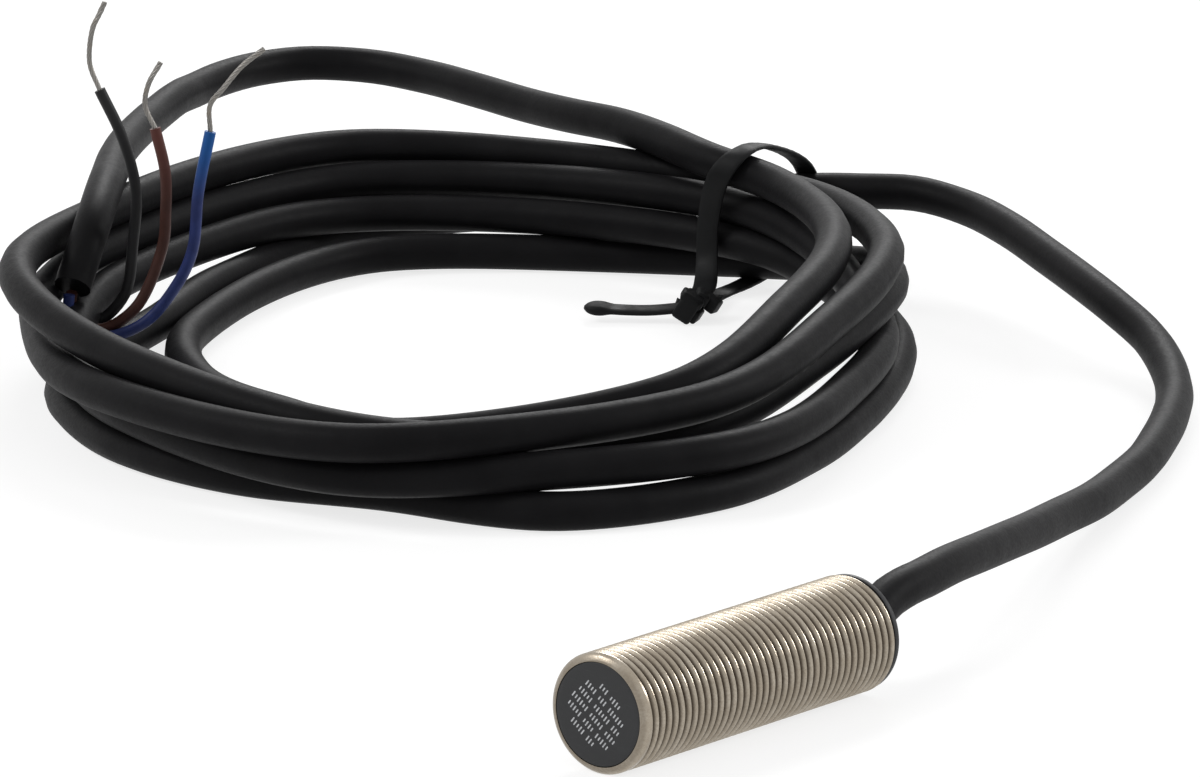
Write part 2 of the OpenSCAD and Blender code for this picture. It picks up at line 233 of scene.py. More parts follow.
class Finish(Nodes):
    """A material on the Principled shader. Plain values are set on its own sockets."""

    def __init__(self, name, slot, **plain):
        self.slot = slot
        self.material = bpy.data.materials.new(name)
        self.material.use_nodes = True
        super().__init__(self.material.node_tree)
        self.shader = next(n for n in self.tree.nodes if n.type == "BSDF_PRINCIPLED")
        self.feed(**plain)
        self.at = self.node("ShaderNodeTexCoord", out="Object")

    def scaled(self, *sizes):
        """The surface's coordinates, measured in a size along each axis."""
        return self.node("ShaderNodeMapping", sockets={
            "Vector": self.at, "Scale": [1.0 / size for size in sizes]})

    def grain(self, size, detail=3.0, rough=0.5, drawn=(1.0, 1.0, 1.0)):
        """Cloudy noise with spots about size across, drawn out along each axis."""
        return self.node("ShaderNodeTexNoise", sockets={
            "Vector": self.scaled(*(size * d for d in drawn)), "Scale": 1.0, "Detail": detail,
            "Roughness": rough})

    def cells(self, size):
        """Small cells about size across, as in a fine mould texture."""
        return self.node("ShaderNodeTexVoronoi", sockets={
            "Vector": self.scaled(size, size, size), "Scale": 1.0}, out="Distance")

    def part_of(self, axis):
        """One coordinate of the surface, in metres."""
        return self.node("ShaderNodeSeparateXYZ", sockets={"Vector": self.at}, out=axis)

    def mix(self, share, first, second):
        """A colour between two colours."""
        return self.node("ShaderNodeMix", {"data_type": "RGBA"},
                         {0: share, 6: first, 7: second}, out=2)

    def relief(self, *layers):
        """Feeds Normal with one or more heights, each with its depth in metres."""
        normal = None
        for height, depth in layers:
            sockets = {"Height": height, "Distance": depth, "Strength": 1.0}
            if normal is not None:
                sockets["Normal"] = normal
            normal = self.node("ShaderNodeBump", sockets=sockets)
        self.put(self.shader.inputs["Normal"], normal)

    def feed(self, **signals):
        """Sets or links the shader's sockets, named with _ for a space."""
        for key, value in signals.items():
            self.put(self.shader.inputs[key.replace("_", " ")], value)


def axis_distance(f):
    """Distance of the surface from the housing's axis, in metres."""
    x = f.part_of("X")
    z = f.part_of("Z") - AXIS_Z
    return (x * x + z * z) ** 0.5


def plated_tube():
    """Satin nickel plate on turned brass: bright worn crests, dull brown roots darkened partly by
    grime and partly by painted shade.
    """
    f = Finish("satin_nickel_plate", "nickel", Metallic=1.0)
    root = axis_distance(f).between(CREST_R - 0.04 * MM, ROOT_R + 0.16 * MM)
    past_chamfer = f.part_of("Y").between(FACE_Y + 0.45 * MM, FACE_Y + 0.95 * MM, 0.35, 1.0)
    deep = root * past_chamfer
    cloud = f.grain(2.5 * MM, detail=4.0)
    fine = f.grain(0.22 * MM, detail=2.0)
    lathe = f.grain(0.05 * MM, detail=1.0, drawn=(24.0, 1.0, 24.0))
    plate = f.mix(cloud.between(0.35, 0.7), (0.350, 0.305, 0.245), (0.43, 0.385, 0.320))
    worn = f.mix(fine.between(0.3, 0.75) * 0.5, plate, (0.28, 0.235, 0.180))
    # Darkens the thread's roots, and a third as much within the front chamfer: partly real grime,
    # partly painted shade where the grooves lie in shadow.
    grime_and_shade = deep * cloud.between(0.2, 0.8, 0.84, 0.98)
    f.feed(Base_Color=f.mix(grime_and_shade, worn, (0.040, 0.028, 0.018)),
           Roughness=deep * 0.25 + fine.between(0.25, 0.8, 0.22, 0.34))
    f.relief((lathe, 0.004 * MM), (fine, 0.010 * MM))
    return f


def moulded(name, slot, shade, lighter, dull=0.55, mark=0.35, shine=0.4):
    """Matte moulding with a spark-worn skin and a few faint rubbed marks."""
    f = Finish(name, slot, Specular_IOR_Level=shine)
    skin = f.cells(0.16 * MM)
    cloud = f.grain(1.8 * MM, detail=4.0)
    rub = f.grain(0.12 * MM, detail=2.0, drawn=(9.0, 9.0, 1.0)).between(0.60, 0.78)
    f.feed(Base_Color=f.mix(cloud.between(0.4, 0.75) * 0.5 + rub * mark, shade, lighter),
           Roughness=cloud.spread(dull - 0.07, dull + 0.08) - rub * 0.08)
    f.relief((skin, 0.006 * MM), (cloud, 0.02 * MM))
    return f


def cable_skin():
    """Soft black jacket: even, semi-matte, with faint rubbed streaks and a slight waviness."""
    f = Finish("black_jacket", "jacket", Specular_IOR_Level=0.06)
    cloud = f.grain(7.0 * MM, detail=3.0)
    fine = f.grain(0.35 * MM, detail=3.0, rough=0.6)
    rub = f.grain(1.6 * MM, detail=4.0, rough=0.6).between(0.56, 0.8)
    paler = cloud.between(0.35, 0.7) * 0.6 + rub * 0.4
    f.feed(Base_Color=f.mix(paler, (0.0058, 0.0056, 0.0062), (0.0102, 0.0099, 0.0107)),
           Roughness=fine.between(0.3, 0.75, 0.48, 0.58) + rub * 0.06)
    f.relief((f.grain(4.0 * MM, detail=1.0), 0.10 * MM), (fine, 0.012 * MM))
    return f


def wire_skin(name, slot, shade, tip, rise):
    """Semi-matte insulation, a little brighter towards its upper, cut end, which lies at height
    rise.
    """
    f = Finish(name, slot, Specular_IOR_Level=0.2)
    cloud = f.grain(1.5 * MM, detail=3.0)
    near_tip = f.part_of("Z").between(rise - 8 * MM, rise)
    lower = f.mix(cloud.between(0.35, 0.7) * 0.6, shade, [c * 0.6 for c in shade])
    f.feed(Base_Color=f.mix(near_tip, lower, tip), Roughness=cloud.spread(0.40, 0.52))
    f.relief((f.grain(0.25 * MM, detail=2.0), 0.006 * MM))
    return f


def tinned_copper():
    """Twisted tinned strands, dull grey with warmer spots."""
    f = Finish("tinned_strands", "tinned", Metallic=1.0)
    fine = f.grain(0.18 * MM, detail=3.0)
    cloud = f.grain(1.2 * MM, detail=3.0)
    warm = cloud.between(0.5, 0.8) * 0.5
    f.feed(Base_Color=f.mix(warm, (0.235, 0.225, 0.210), (0.27, 0.225, 0.17)),
           Roughness=fine.spread(0.30, 0.46))
    f.relief((fine, 0.006 * MM))
    return f


def metal(name, slot, shade, darker, dull):
    """A small bare metal part with a cloudy, slightly scratched surface."""
    f = Finish(name, slot, Metallic=1.0)
    cloud = f.grain(0.9 * MM, detail=3.0)
    fine = f.grain(0.08 * MM, detail=2.0, drawn=(1.0, 6.0, 1.0))
    f.feed(Base_Color=f.mix(cloud.between(0.35, 0.7), shade, darker),
           Roughness=fine.spread(dull - 0.06, dull + 0.08))
    f.relief((fine, 0.003 * MM))
    return f


def wound_copper():
    """Enamelled wire wound side by side in layers about the core's post."""
    f = Finish("wound_copper", "copper", Metallic=0.85, Coat_Weight=0.4)
    turns = (f.part_of("Y") * (2 * pi / (0.12 * MM))).wave()
    cloud = f.grain(0.5 * MM, detail=2.0)
    f.feed(Base_Color=f.mix(cloud.spread(), (0.58, 0.23, 0.09), (0.42, 0.14, 0.05)),
           Roughness=cloud.spread(0.28, 0.40))
    f.relief((turns, 0.012 * MM))
    return f


def board_green():
    """Solder mask over tracks: raised, slightly lighter lines under a green lacquer."""
    f = Finish("solder_mask", "board", Specular_IOR_Level=0.5)
    x, y = f.part_of("X"), f.part_of("Y")
    bend = (y * (2 * pi / (7.0 * MM))).wave() * (0.4 * MM)
    track = ((x + bend) * (2 * pi / (1.3 * MM))).wave().between(0.35, 0.6)
    cloud = f.grain(0.6 * MM, detail=3.0)
    paler = track * 0.8 + cloud * 0.2
    f.feed(Base_Color=f.mix(paler, (0.010, 0.085, 0.030), (0.035, 0.19, 0.065)),
           Roughness=cloud.spread(0.28, 0.40))
    f.relief((track, 0.03 * MM), (cloud, 0.005 * MM))
    return f


def filled_resin():
    """Cast resin with a soft sheen and a few trapped specks."""
    f = Finish("cast_resin", "resin", Specular_IOR_Level=0.5)
    speck = f.cells(0.6 * MM).between(0.05, 0.16, 1.0, 0.0)
    cloud = f.grain(1.4 * MM, detail=3.0)
    paler = speck * 0.5 + cloud * 0.25
    f.feed(Base_Color=f.mix(paler, (0.030, 0.026, 0.022), (0.085, 0.075, 0.062)),
           Roughness=cloud.spread(0.22, 0.36))
    f.relief((cloud, 0.03 * MM))
    return f


def fired_ceramic(name, slot, shade, spots, dull=0.6):
    """Sintered or fired material with dark and light grains."""
    f = Finish(name, slot, Specular_IOR_Level=0.45)
    grains = f.cells(0.11 * MM).between(0.1, 0.7)
    cloud = f.grain(0.8 * MM, detail=3.0)
    f.feed(Base_Color=f.mix(grains * 0.6 + cloud * 0.3, shade, spots),
           Roughness=cloud.spread(dull - 0.06, dull + 0.08))
    f.relief((grains, 0.006 * MM))
    return f


def face_ink():
    """Thin matte white ink with a slightly broken edge tone."""
    f = Finish("white_ink", "black_cap", Specular_IOR_Level=0.3)
    cloud = f.grain(0.25 * MM, detail=3.0)
    f.feed(Base_Color=f.mix(cloud.between(0.45, 0.75), (0.62, 0.63, 0.65), (0.34, 0.35, 0.37)),
           Roughness=cloud.spread(0.55, 0.7))
    f.relief((cloud, 0.004 * MM))
    return f


NICKEL = plated_tube()
FACE_BLACK = moulded("black_face", "black_cap", (0.0135, 0.0140, 0.0150), (0.030, 0.031, 0.033),
                     dull=0.50)
CAP_BLACK = moulded("black_cap", "black_cap", (0.0120, 0.0122, 0.0130), (0.026, 0.026, 0.028),
                    dull=0.52)
JACKET = cable_skin()
BROWN = wire_skin("brown_insulation", "brown_insulation",
                  (0.062, 0.024, 0.018), (0.105, 0.036, 0.029), 27 * MM)
BLUE = wire_skin("blue_insulation", "blue_insulation",
                 (0.026, 0.040, 0.150), (0.012, 0.095, 0.33), 27 * MM)
BLACK = wire_skin("black_insulation", "black_insulation",
                  (0.011, 0.011, 0.012), (0.016, 0.016, 0.017), 31 * MM)
TINNED = tinned_copper()
TIE_BLACK = moulded("black_tie", "tie", (0.0060, 0.0062, 0.0066), (0.012, 0.0125, 0.013),
                    dull=0.55, mark=0.12, shine=0.12)
INK = face_ink()

# ------------------------------------------------------------------ ways of making a piece


def finished(name, bm, finish, sharp, stands_for=()):
    """Makes a bmesh a smooth-shaded piece that rides on the part's only body."""
    mesh = bpy.data.meshes.new(name)
    bm.to_mesh(mesh)
    bm.free()
    mesh.shade_smooth()
    mesh.set_sharp_from_angle(angle=radians(sharp))
    made = bpy.data.objects.new(name, mesh)
    scene.collection.objects.link(made)
    return settled_in(made, finish, stands_for)


def settled_in(made, finish, stands_for):
    """Gives a new piece its material and its place in the frame."""
    made.data.materials.append(finish.material)
    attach(made, BODY)
    if stands_for:
        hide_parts(*stands_for)
    return made


TURNED_STEPS = 128


def turned(name, outline, finish, stands_for):
    """Turns an outline of (radius, distance behind the sensing face) about the housing's axis."""
    bm = bmesh.new()
    spots = [bm.verts.new((r, FACE_Y + s, AXIS_Z)) for r, s in outline]
    edges = [bm.edges.new(pair) for pair in zip(spots, spots[1:])]
    if outline[0][0] > 0:
        edges.append(bm.edges.new((spots[-1], spots[0])))
    bmesh.ops.spin(bm, geom=spots + edges, cent=(0, 0, AXIS_Z), axis=(0, 1, 0), dvec=(0, 0, 0),
                   angle=2 * pi, steps=TURNED_STEPS, use_merge=True, use_normal_flip=False,
                   use_duplicate=False)
    bmesh.ops.remove_doubles(bm, verts=bm.verts, dist=0.001 * MM)
    bmesh.ops.recalc_face_normals(bm, faces=bm.faces)
    return finished(name, bm, finish, 50.0, stands_for)


def softened(bm, edges, offset, segments):
    """Bevels the edges of a small block."""
    bmesh.ops.bevel(bm, geom=edges, offset=offset, offset_type="OFFSET", affect="EDGES",
                    segments=segments, profile=0.5, material=-1)


def smooth_step(value):
    """Goes smoothly from 0 to 1 with the value, and stays level outside that."""
    value = max(0.0, min(1.0, value))
    return value * value * (3 - 2 * value)


def of_kind(geometry, kind):
    return [g for g in geometry if isinstance(g, kind)]


def knots_of(points):
    """Distances along a line of points, by the square root of each step."""
    sums = [0.0]
    for a, b in zip(points, points[1:]):
        sums.append(sums[-1] + max((b - a).length, 1e-9) ** 0.5)
    return sums


def flowing(points, spacing):
    """A smooth line through the points, as points a set spacing apart."""
    points = [Vector(p) for p in points]
    whole = [2 * points[0] - points[1]] + points + [2 * points[-1] - points[-2]]
    at = knots_of(whole)
    fine = []
    for i in range(1, len(whole) - 2):
        p, t = whole[i - 1:i + 3], at[i - 1:i + 3]
        parts = max(3, ceil((p[2] - p[1]).length / (0.3 * spacing)))
        for k in range(parts):
            s = t[1] + (t[2] - t[1]) * k / parts
            a = [p[j] + (p[j + 1] - p[j]) * ((s - t[j]) / (t[j + 1] - t[j])) for j in range(3)]
            b = [a[j] + (a[j + 1] - a[j]) * ((s - t[j]) / (t[j + 2] - t[j])) for j in range(2)]
            fine.append(b[0] + (b[1] - b[0]) * ((s - t[1]) / (t[2] - t[1])))
    fine.append(points[-1].copy())
    return spaced(fine, spacing)


def line_length(points):
    return sum((b - a).length for a, b in zip(points, points[1:]))


def spaced(points, spacing):
    """The same line with its points an even distance apart."""
    count = max(2, round(line_length(points) / spacing))
    step = line_length(points) / count
    out, gone, want = [points[0].copy()], 0.0, step
    for a, b in zip(points, points[1:]):
        run = (b - a).length
        while gone + run >= want - 1e-12 and len(out) < count:
            out.append(a.lerp(b, (want - gone) / run))
            want += step
        gone += run
    out.append(points[-1].copy())
    return out


def drawn_curve(name, lines, radius, finish, sides, stands_for):
    """Round wire along one or more lines, as a curve with closed ends."""
    data = bpy.data.curves.new(name, "CURVE")
    data.dimensions = "3D"
    data.bevel_depth = radius
    data.bevel_resolution = sides
    data.use_fill_caps = True
    data.twist_mode = "MINIMUM"
    for line in lines:
        spline = data.splines.new("POLY")
        spline.points.add(len(line) - 1)
        for spot, p in zip(spline.points, line):
            spot.co = (*p, 1.0)
        spline.use_smooth = True
    made = bpy.data.objects.new(name, data)
    scene.collection.objects.link(made)
    return settled_in(made, finish, stands_for)


# ------------------------------------------------------------------ the cable and its wires

# Points of the cable's course, as in the CAD source.
LEAD_ROUTE = [
    (0, 0.02, 0.006), (0, 0.022, 0.006), (-0.001, 0.026, 0.0075), (-0.0015, 0.03, 0.0082),
    (-0.0022, 0.034, 0.0082), (-0.004, 0.041, 0.008), (-0.0065, 0.049, 0.0072),
    (-0.0095, 0.0575, 0.0062), (-0.013, 0.067, 0.005), (-0.017, 0.0775, 0.0038),
    (-0.0205, 0.088, 0.0029), (-0.0245, 0.098, 0.0023), (-0.0285, 0.108, 0.0021),
    (-0.033, 0.117, 0.0021), (-0.038, 0.126, 0.0021), (-0.0435, 0.1345, 0.0024),
    (-0.05, 0.142, 0.0033), (-0.057, 0.148, 0.0045), (-0.065, 0.1525, 0.006),
    (-0.0735, 0.1575, 0.007), (-0.082, 0.1625, 0.0078), (-0.091, 0.1675, 0.0087),
    (-0.0995, 0.171, 0.0094), (-0.1075, 0.1715, 0.01), (-0.1135, 0.1695, 0.0098)]
TAIL_ROUTE = [
    (-0.112, 0.1505, 0.015), (-0.122, 0.1515, 0.015), (-0.132, 0.155, 0.0155),
    (-0.1415, 0.1585, 0.0155), (-0.1515, 0.1615, 0.015), (-0.161, 0.165, 0.0145),
    (-0.171, 0.168, 0.0145), (-0.181, 0.1705, 0.0145), (-0.1895, 0.17, 0.0148),
    (-0.196, 0.166, 0.015), (-0.1985, 0.1595, 0.015), (-0.198, 0.152, 0.015),
    (-0.196, 0.145, 0.015), (-0.193, 0.1385, 0.0155), (-0.1885, 0.1295, 0.0155),
    (-0.183, 0.1205, 0.016), (-0.1775, 0.112, 0.0165), (-0.1715, 0.1035, 0.017),
    (-0.165, 0.095, 0.0172), (-0.159, 0.087, 0.017), (-0.154, 0.0795, 0.015)]
JACKET_END = (-0.152, 0.074, 0.0095)
# Under the tie's loop the strand dips a little below the CAD's own point.
UNDER_LOOP = (-0.112, 0.1505, 0.0139)
BLACK_ROUTE = [
    (-0.149, 0.081, 0.014), (-0.1485, 0.081, 0.02), (-0.1495, 0.08, 0.026),
    (-0.1515, 0.0785, 0.0315)]
BROWN_ROUTE = [
    (-0.145, 0.0815, 0.014), (-0.1445, 0.0815, 0.018), (-0.1445, 0.0815, 0.0225),
    (-0.1455, 0.081, 0.0275)]
BLUE_ROUTE = [(-0.141, 0.082, 0.014), (-0.1405, 0.0825, 0.0205), (-0.1395, 0.0835, 0.0275)]
BLACK_BARE = [
    (-0.1515, 0.0785, 0.0315), (-0.1525, 0.078, 0.0345), (-0.152, 0.078, 0.0385),
    (-0.1515, 0.0785, 0.04), (-0.151, 0.079, 0.0415)]
BROWN_BARE = [
    (-0.1455, 0.081, 0.0275), (-0.1465, 0.0805, 0.03), (-0.146, 0.0805, 0.0325),
    (-0.145, 0.0815, 0.035)]
BLUE_BARE = [
    (-0.1395, 0.0835, 0.0275), (-0.1395, 0.0835, 0.0305), (-0.138, 0.084, 0.0325),
    (-0.1365, 0.0855, 0.035), (-0.1345, 0.087, 0.037)]
# How each wire comes out of the jacket's end, down inside the coil.
BLACK_ROOT = [
    (-0.1525, 0.075, 0.009), (-0.1535, 0.0765, 0.0065), (-0.152, 0.078, 0.005),
    (-0.1495, 0.08, 0.008)]
BROWN_ROOT = [
    (-0.152, 0.074, 0.009), (-0.1525, 0.0745, 0.0065), (-0.1505, 0.0765, 0.0045),
    (-0.147, 0.079, 0.007)]
BLUE_ROOT = [
    (-0.1515, 0.073, 0.009), (-0.1515, 0.073, 0.0065), (-0.1495, 0.0755, 0.004),
    (-0.1455, 0.0785, 0.0055), (-0.1425, 0.081, 0.010)]

# What each wire is drawn with: its way out of the jacket, its skin, its bare end, its finish.
WIRES = {
    "black": (BLACK_ROOT, BLACK_ROUTE, BLACK_BARE, BLACK),
    "brown": (BROWN_ROOT, BROWN_ROUTE, BROWN_BARE, BROWN),
    "blue": (BLUE_ROOT, BLUE_ROUTE, BLUE_BARE, BLUE),
}
# A bare end's radius, its strands' own, the length of one twist, and how far a strand comes loose.
BARE_R = 0.3 * MM
STRAND_R = 0.125 * MM
STRAND_LAY = 4.2 * MM
LOOSENED = 0.10

# The tied coil: each row is one turn from the tie round to the tie, in even steps, as distances
# from the coil's middle and as heights, in millimetres.
COIL_MIDDLE = Vector((-0.107, 0.089, 0.0))
COIL_TURN = 39.0
TIE_ANGLE = 60.0
TURN_REACH = [
    [79, 77, 77.5, 57.5, 46, 43.5, 44.5, 44.5, 46,
     47.5, 49, 57.6, 55, 48.5, 45.2, 46, 51, 57.6],
    [64.5, 73, 53, 44, 47, 55.3, 55.3, 45.2, 49.5],
    [64.5, 77, 54, 44.6, 49.5, 57.5, 49.5, 42.2, 49.2],
    [68, 79.8, 56, 49.4, 47, 52.5, 45, 40.4, 48.9],
    [67.2, 66.8, 41, 29.1, 27.1, 36, 44.3, 37.9, 43.5]]
TURN_RISE = [
    [9.5, 6.3, 4.6, 4.1, 3.3, 2.6, 2.1, 2.1, 2.1, 2.1, 2.3, 2.1, 2.1, 2.1, 2.1, 2.1, 4.3, 5.2],
    [7, 5.2, 6.7, 5.6, 5.6, 4.2, 5.6, 6.1, 7.4],
    [10, 9, 9.1, 7.5, 8.5, 8.8, 9.8, 11.5, 11.5],
    [11.3, 12.2, 12.9, 14.1, 12, 9.2, 6.5, 8.1, 9],
    [2.1, 2.1, 2.1, 2.4, 3.4, 4.9, 10.4, 14.5, 15.4]]
CABLE_STEP = 2.4 * MM
CABLE_DRAWN_STEP = 1.6 * MM
# How the turns are eased apart. The held points lie at the housing and at the jacket's end, and
# the strap takes its room under the cable where it passes below.
EASE_ROUNDS = 120
PUSH_SHARE, PUSH_PASSES, PUSH_GAIN, MOVED_PASSES = 0.6, 4, 1.3, 3
OWN_STRETCH = 3.0
HELD_START, HELD_END = 8, 2
STRAP_ROOM = 0.7 * MM
STRAP_ARC = radians(4)


def round_coil(reach, angle, height):
    """A point of the coil, from its distance and angle about the coil's middle, and its height."""
    a = radians(COIL_TURN + angle)
    return COIL_MIDDLE + Vector((reach * cos(a), reach * sin(a), height))


def wound_turns():
    """The stations of every turn, one after another."""
    return [round_coil(reach * MM, TIE_ANGLE + 360.0 / len(reaches) * k, rise * MM)
            for reaches, rises in zip(TURN_REACH, TURN_RISE)
            for k, (reach, rise) in enumerate(zip(reaches, rises))]


def smoothed(row, passes):
    """Averages each vector of a row with its two neighbours, a number of times."""
    for _ in range(passes):
        before, after = row[:1] + row[:-1], row[1:] + row[-1:]
        row = [(a + b * 2 + c) / 4 for a, b, c in zip(before, row, after)]
    return row


def pushed(now, apart):
    """How far each point has to go from the other turns' points, as a mean over those too near."""
    near = KDTree(len(now))
    for i, p in enumerate(now):
        near.insert(p, i)
    near.balance()
    own = ceil(OWN_STRETCH * apart / CABLE_STEP)
    push = [Vector() for _ in now]
    count = [0] * len(now)
    for i, p in enumerate(now):
        for q, j, gap in near.find_range(p, apart):
            if j > i + own:
                way = (p - q) * ((apart - gap) / max(gap, 1e-6))
                push[i] += way
                push[j] -= way
                count[i] += 1
                count[j] += 1
    return [v / max(1, n) for v, n in zip(push, count)]


def eased_apart(course, radius):
    """Moves the turns of a wound cable until they lie beside and on each other, and on the table.

    What is smoothed is how far each point has moved, so the wound shape stays as it was laid.
    """
    tied = round_coil(1.0, TIE_ANGLE, 0).to_2d() - COIL_MIDDLE.to_2d()
    turned_off = [abs((p - COIL_MIDDLE).to_2d().angle_signed(tied, pi)) for p in course]
    floor = [radius + (STRAP_ROOM if angle < STRAP_ARC else 0.0) for angle in turned_off]
    free = range(HELD_START, len(course) - 1 - HELD_END)
    moved = [Vector() for _ in course]
    for _ in range(EASE_ROUNDS):
        push = pushed([p + m for p, m in zip(course, moved)], 2.0 * radius)
        push = smoothed([v * PUSH_SHARE for v in push], PUSH_PASSES)
        for i in free:
            moved[i] += push[i] * PUSH_GAIN
        moved = smoothed(moved, MOVED_PASSES)
        for i in free:
            moved[i].z = max(moved[i].z, floor[i] - course[i].z)
    return [p + m for p, m in zip(course, moved)]


cable_course = flowing(LEAD_ROUTE + [tuple(p) for p in wound_turns()] + [UNDER_LOOP]
                       + TAIL_ROUTE[1:] + [JACKET_END], CABLE_STEP)
cable_line = flowing(eased_apart(cable_course, CABLE_R), CABLE_DRAWN_STEP)
cable = drawn_curve("cable_jacket", [cable_line], CABLE_R, JACKET, sides=5,
                    stands_for=("lead_cable", "cable_coil", "cable_tail"))


def frames_along(points, side):
    """The line's direction and two sides at each point, carried along without a twist."""
    out = []
    for i, p in enumerate(points):
        way = (points[min(i + 1, len(points) - 1)] - points[max(i - 1, 0)]).normalized()
        side = (side - way * side.dot(way)).normalized()
        out.append((p, way, side, way.cross(side)))
    return out


def stranded(name, route, node):
    """Seven tinned strands, six laid round one, that loosen a little towards the tip."""
    points = flowing(route, 0.35 * MM)
    along = frames_along(points, Vector((1, 0, 0.2)))
    length = line_length(points)
    lines = [points]
    for k in range(6):
        line = []
        for i, (p, _, side, cross) in enumerate(along):
            gone = length * i / (len(along) - 1)
            turn = 2 * pi * (gone / STRAND_LAY + k / 6)
            out = (BARE_R - STRAND_R) * (1.0 + LOOSENED * (gone / length) ** 2 * (k % 3))
            line.append(p + side * (out * cos(turn)) + cross * (out * sin(turn)))
        lines.append(line)
    return drawn_curve(name, lines, STRAND_R, TINNED, sides=1, stands_for=(node,))


def insulated(name, root, route, finish, node):
    """One insulated wire out of the jacket, up to its stripped end."""
    line = flowing(root + route, 0.7 * MM)
    wire = drawn_curve(name, [line], WIRE_R, finish, sides=4, stands_for=(node,))
    round(line_length(line), 4)


tips = {colour: stranded(colour + "_wire_strands", bare, colour + "_strands")
        for colour, (_, _, bare, _) in WIRES.items()}
for colour, (root, route, _, finish) in WIRES.items():
    insulated(colour + "_wire_skin", root, route, finish, colour + "_wire")

# ------------------------------------------------------------------ the cable tie

TIE_T = 0.6 * MM
TIE_W = 2.8 * MM
TOOTH_TOP, TOOTH_ROOT = 1.10, 0.98
# The strap's loop, in millimetres: out from the coil's middle, along the cable, height.
TIE_LOOP = [
    (49.5, 0.2, 1.6), (52.5, 0.6, 1.8), (56.5, 1.8, 1.8), (59.6, 3.2, 2.8), (61, 3.9, 5),
    (61.3, 4, 7.8), (61.2, 3.6, 10.3), (60.5, 2.7, 12.8), (60.2, 1.5, 15), (61, 0.5, 16.5),
    (63.2, 0, 17.3), (66.5, 0.1, 17.1), (70, 0.3, 16.2), (74, 0.5, 14.8), (77.1, 0.7, 13.3),
    (79.3, 1, 11.7), (80.7, 1.3, 10), (80.9, 1.6, 8.2), (79.6, 1.8, 6), (76, 1.8, 3), (71, 2, 1),
    (66.5, 2.2, 0.4), (62, 2.2, 0.35), (57.5, 1.8, 0.4), (53.5, 1.2, 0.8), (50.5, 0.6, 1.2)]
# The head and the free end, in millimetres to the right of, beyond and above the coil's middle.
HEAD_MIDDLE = (24.9, 40.8, 1.8)
TIE_END = [
    (24.4, 41.0, 1.7), (20.5, 41.3, 1.3), (17.5, 41.5, 1.3), (15.0, 41.8, 1.4), (12.9, 42.0, 1.5)]
# The free end widens after one share of its length, and is rounded off after another. Its width
# and thickness are shares of the strap's own, each with what the widening adds.
END_SWELLS, END_ROUNDS, END_RUN = 0.70, 0.86, 0.14
END_W, END_MORE_W, END_T, END_MORE_T = 0.92, 0.14, 1.25, 0.85
# How the head is turned on the table and then tipped, in degrees.
HEAD_TURN, HEAD_TIP = 30, 32
# The head's blocks: middle, size, turn about the head's upright in degrees, and bevel.
HEAD_BLOCKS = [
    ((-0.1, 0.2, 0), (2.3, 4.2, 3.1), 0, 0.4),
    ((-0.2, -0.6, 1.2), (2.7, 2.4, 1.2), 8, 0.3),
    ((0.5, 0.2, -0.4), (2.4, 3.0, 1.6), -6, 0.3),
    ((1.7, 1.9, 1.3), (2.4, 2.2, 1.7), -12, 0.3),
    ((0.6, 1.2, 1.5), (1.6, 2.6, 1.4), 10, 0.3)]


def about_coil(turn):
    """A frame at the coil's middle, turned on the table by an angle in degrees."""
    return Matrix.Translation(COIL_MIDDLE) @ Matrix.Rotation(radians(COIL_TURN + turn), 4, "Z")


def strap_section(bm):
    """The strap's section at the origin, in the XY plane: an oval with flattened sides."""
    ring = bmesh.ops.create_circle(bm, cap_ends=False, radius=0.5, segments=16)["verts"]
    for v in ring:
        v.co.x = TIE_W * 0.5 * (1 if v.co.x > 0 else -1) * min(1.0, abs(v.co.x * 2) ** 0.55)
        v.co.y = TIE_T * 0.5 * (1 if v.co.y > 0 else -1) * min(1.0, abs(v.co.y * 2) ** 0.75)
    return ring


def pulled(bm, ring, frames, closed):
    """Pulls a ring of edges made at the origin through a row of frames, and closes its ends."""
    edges = list({e for v in ring for e in v.link_edges})
    bmesh.ops.transform(bm, matrix=frames[0], verts=ring)
    first, last = edges, frames[0]
    for frame in frames[1:]:
        grown = bmesh.ops.extrude_edge_only(bm, edges=edges)["geom"]
        edges = of_kind(grown, bmesh.types.BMEdge)
        bmesh.ops.transform(bm, matrix=frame @ last.inverted(),
                            verts=of_kind(grown, bmesh.types.BMVert))
        last = frame
    if closed:
        bmesh.ops.bridge_loops(bm, edges=first + edges)
    else:
        bmesh.ops.edgeloop_fill(bm, edges=first)
        bmesh.ops.edgeloop_fill(bm, edges=edges)


def section_frame(spot, way, across, wide, thick):
    """Stands a strap's section up at a spot: X across, Z along the way it runs."""
    way = way.normalized()
    across = (across - way * across.dot(way)).normalized()
    up = way.cross(across)
    turn = Matrix((across, up, way)).transposed().to_4x4()
    return Matrix.Translation(spot) @ turn @ Matrix.Diagonal((wide, thick, 1.0, 1.0))


